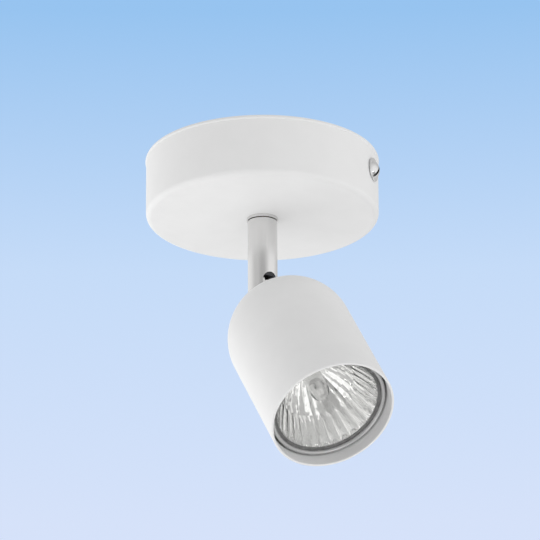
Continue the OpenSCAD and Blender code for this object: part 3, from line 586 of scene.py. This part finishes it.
def make_rim():
    """The bulb's rim: a hollow beside the cover glass, a round edge and a skirt."""
    seat_r, seat_front = GLASS_R + RIM_GAP, GLASS_FRONT - RIM_LEDGE
    hollow = (RIM_INNER_R + RIM_LEDGE, seat_front + RIM_LEDGE)
    edge = (BULB_R - RIM_ROUND, RIM_FRONT - RIM_ROUND)
    shell_top = bowl_shell()[0][1]
    profile = ([(seat_r, CEMENT_BACK), (seat_r, seat_front)]
               + arc(hollow, RIM_HOLLOW + 2 * RIM_GAP, *HOLLOW_ANGLES, HOLLOW_STEPS)
               + arc(edge, RIM_ROUND, 90, 0, RIM_ROUND_STEPS)
               + [(BULB_R, shell_top + RIM_SKIRT), (BOWL_R + SHELL_WALL, shell_top)])
    make_piece("bulb_rim", turned(profile, RIM_ROUNDS), FINISHES["pressed_glass_rim"],
               "bulb_reflector", "bulb_body")


def make_front_glass():
    """The cover glass: a disc with bevelled edges."""
    edge_r = GLASS_R - GLASS_BEVEL
    profile = [(PIN_HOLE, GLASS_BACK), (edge_r, GLASS_BACK), (GLASS_R, GLASS_BACK + GLASS_BEVEL),
               (GLASS_R, GLASS_FRONT - GLASS_BEVEL), (edge_r, GLASS_FRONT), (PIN_HOLE, GLASS_FRONT)]
    make_piece("bulb_front_glass", turned(profile, ROUND), FINISHES["clear_glass"],
               "bulb_cover_glass", "bulb_body", closed=False)


def make_capsule():
    """The capsule: a straight wall on a bevelled foot, and a round dome."""
    low = BOWL_FOOT - CAPSULE_SINK
    profile = ([(PIN_HOLE, low), (CAPSULE_R - CAPSULE_FOOT, low), (CAPSULE_R, low + CAPSULE_FOOT)]
               + arc((0, CAPSULE_TOP - CAPSULE_R), CAPSULE_R, 0, DOME_END, DOME_STEPS))
    make_piece("bulb_capsule_glass", turned(profile, CAPSULE_ROUNDS), FINISHES["capsule_glass"],
               "bulb_capsule", "bulb_body")


make_bowl()
make_cement()
make_rim()
make_front_glass()
make_capsule()

# Side screws: the slot's turn in the CAD and in the photograph, and where its faces lie
CAD_SLOT_TURN = 75.0
SLOT_TURN = 157.0
SLOT_W = 1.2 * MM
SLOT_MARGIN = 0.02 * MM
SLOT_REACH = 4.0 * MM
SLOT_FLOOR = 50.7 * MM


def slot_faces(mesh, middle, axis):
    """Faces inside the slots of two screws that stand on this axis, opposite each other."""
    found = []
    for face in mesh.polygons:
        place = face.center - middle
        out = axis if place.dot(axis) > 0 else -axis
        down = Vector((0, 0, -1))
        turn = math.radians(CAD_SLOT_TURN)
        across = math.cos(turn) * out.cross(down) - math.sin(turn) * down
        aside = place - place.dot(out) * out
        inside = abs(place.dot(across)) < SLOT_W / 2 + SLOT_MARGIN and aside.length < SLOT_REACH
        if inside and place.dot(out) > SLOT_FLOOR:
            found.append(face.index)
    return found


def turn_side_screws():
    """The side screws stand with their slots as in the photograph: a turned copy of the node."""
    node = frame["nodes"]["side_screws"]
    mesh = node.data.copy()
    places = [v.co.copy() for v in mesh.vertices]
    middle = sum(places, Vector()) / len(places)
    near = [p for p in places if p.x > middle.x]
    axis = (sum(near, Vector()) / len(near) - middle).normalized()
    # The faces inside the slots get the near-black finish: painted shade in the slots
    mesh.materials.append(FINISHES["painted_slot_shade"])
    for index in slot_faces(mesh, middle, axis):
        mesh.polygons[index].material_index = 1
    shift = Matrix.Translation(middle)
    turn = math.radians(SLOT_TURN - CAD_SLOT_TURN)
    mesh.transform(shift @ Matrix.Rotation(turn, 4, axis) @ shift.inverted())
    piece = bpy.data.objects.new("side_screws_turned", mesh)
    piece.matrix_world = node.matrix_world
    bpy.context.scene.collection.objects.link(piece)
    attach(piece, "canopy_body")
    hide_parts("side_screws")


turn_side_screws()


def make_backdrop():
    """A sphere round everything, which glows from a darker blue above to a paler one below."""
    made = bpy.data.materials.new("backdrop")
    made.use_nodes = True
    nodes, links = made.node_tree.nodes, made.node_tree.links
    nodes.clear()
    output = nodes.new("ShaderNodeOutputMaterial")
    glow = nodes.new("ShaderNodeEmission")
    where = nodes.new("ShaderNodeTexCoord")
    split = nodes.new("ShaderNodeSeparateXYZ")
    ramp = nodes.new("ShaderNodeValToRGB")
    rise = nodes.new("ShaderNodeMapRange")
    rise.inputs["From Min"].default_value = SKY_HIGH
    rise.inputs["From Max"].default_value = SKY_LOW
    ramp.color_ramp.elements[0].color = SKY_COLOURS[0]
    ramp.color_ramp.elements[1].color = SKY_COLOURS[2]
    ramp.color_ramp.elements.new(0.5).color = SKY_COLOURS[1]
    links.new(where.outputs["Normal"], split.inputs["Vector"])
    links.new(split.outputs["Z"], rise.inputs["Value"])
    links.new(rise.outputs["Result"], ramp.inputs["Fac"])
    links.new(ramp.outputs["Color"], glow.inputs["Color"])
    links.new(glow.outputs["Emission"], output.inputs["Surface"])
    mesh = bpy.data.meshes.new("backdrop")
    form = bmesh.new()
    bmesh.ops.create_uvsphere(form, u_segments=BACKDROP_ROUNDS, v_segments=BACKDROP_ROWS,
                              radius=BACKDROP_RADIUS)
    bmesh.ops.reverse_faces(form, faces=form.faces)
    form.to_mesh(mesh)
    form.free()
    mesh.shade_smooth()
    mesh.materials.append(made)
    return mesh


def make_floor():
    """A pale disc far below the lamp."""
    made = Finish("floor", (0.8, 0.83, 0.9), 0.7)
    made.tint(made.noise(0.4), 0.01)
    mesh = bpy.data.meshes.new("floor")
    form = bmesh.new()
    bmesh.ops.create_circle(form, cap_ends=True, segments=FLOOR_ROUNDS, radius=FLOOR_RADIUS)
    bmesh.ops.translate(form, vec=(0, 0, FLOOR_HEIGHT), verts=form.verts)
    form.to_mesh(mesh)
    form.free()
    mesh.materials.append(made.material)
    return mesh


def make_stage():
    """Backdrop and floor, which only the camera sees."""
    for mesh in (make_backdrop(), make_floor()):
        thing = bpy.data.objects.new(mesh.name, mesh)
        bpy.context.scene.collection.objects.link(thing)
        thing.visible_diffuse = False
        thing.visible_glossy = False
        thing.visible_transmission = False
        thing.visible_shadow = False


WORLD_LIGHT = 0.65
WASH_SIDE = in_view(-1, -0.8, -0.3)
# Each lobe: its direction, the cosines where it starts and is full, and what it adds
LOBES = (
    (WASH_SIDE, 0.2, 0.95, 0.36),
    (in_view(1, 0.3, -0.35), 0.2, 0.95, 0.42),
    # Mirrored in the bowl as the camera sees it: two bright patches and two dark ones
    (Vector((-0.418, -0.245, -0.874)), 0.935, 0.95, 0.8),
    (Vector((-0.116, -0.935, -0.33)), 0.93, 0.96, 0.5),
    (Vector((0.44, -0.165, -0.882)), 0.96, 0.97, -0.42),
    (Vector((0.53, -0.57, -0.628)), 0.925, 0.94, -0.56),
    # Mirrored in the tube: its dark band
    (in_view(0.12, 0.9, 0.4), 0.75, 0.98, -0.16),
)


def make_world():
    """Soft studio light from all round, with brighter and darker places for the metals to reflect."""
    world = bpy.data.worlds.new("studio")
    bpy.context.scene.world = world
    world.use_nodes = True
    nodes, links = world.node_tree.nodes, world.node_tree.links
    glow = nodes["Background"]
    where = nodes.new("ShaderNodeTexCoord")
    base = nodes.new("ShaderNodeValue")
    base.outputs[0].default_value = WORLD_LIGHT
    total = base.outputs[0]
    for direction, start, full, amount in LOBES:
        dot = nodes.new("ShaderNodeVectorMath")
        dot.operation = "DOT_PRODUCT"
        dot.inputs[1].default_value = direction.normalized()
        links.new(where.outputs["Generated"], dot.inputs[0])
        fade = nodes.new("ShaderNodeMapRange")
        fade.interpolation_type = "SMOOTHSTEP"
        fade.inputs["From Min"].default_value = start
        fade.inputs["From Max"].default_value = full
        fade.inputs["To Max"].default_value = amount
        links.new(dot.outputs["Value"], fade.inputs["Value"])
        add = nodes.new("ShaderNodeMath")
        links.new(total, add.inputs[0])
        links.new(fade.outputs["Result"], add.inputs[1])
        total = add.outputs[0]
    glow.inputs["Color"].default_value = (1, 1, 1, 1)
    links.new(total, glow.inputs["Strength"])


LIGHT_AIM = Vector((0, 0, -0.06))


def soft_box(name, place, size, watts, mirrored=True):
    """An area lamp that faces the object. One that isn't mirrored only lights it."""
    lamp = bpy.data.lights.new(name, "AREA")
    lamp.shape = "RECTANGLE"
    lamp.size, lamp.size_y = size
    lamp.energy = watts
    made = bpy.data.objects.new(name, lamp)
    made.location = place
    made.rotation_euler = (LIGHT_AIM - place).to_track_quat("-Z", "Y").to_euler()
    made.visible_glossy = mirrored
    bpy.context.scene.collection.objects.link(made)


def make_lights():
    """A wide wash, a key and a fill at the sides, and two small lamps for highlights."""
    soft_box("wash", 2.4 * WASH_SIDE.normalized(), size=(2.4, 2.4), watts=16, mirrored=False)
    soft_box("key", in_view(-1.1, 0.5, -0.5), size=(0.25, 0.5), watts=0.6)
    soft_box("glint", 1.5 * Vector((-0.12, -0.87, -0.48)), size=(0.05, 0.05), watts=0.12)
    soft_box("edge", in_view(1.5, 0.9, -0.75), size=(0.12, 0.3), watts=0.3)
    soft_box("fill", in_view(1.3, 0.4, -0.2), size=(0.3, 0.8), watts=0.45, mirrored=False)


make_camera()
make_stage()
make_world()
make_lights()

scene = bpy.context.scene
scene.view_settings.view_transform = "Standard"
scene.view_settings.look = "None"
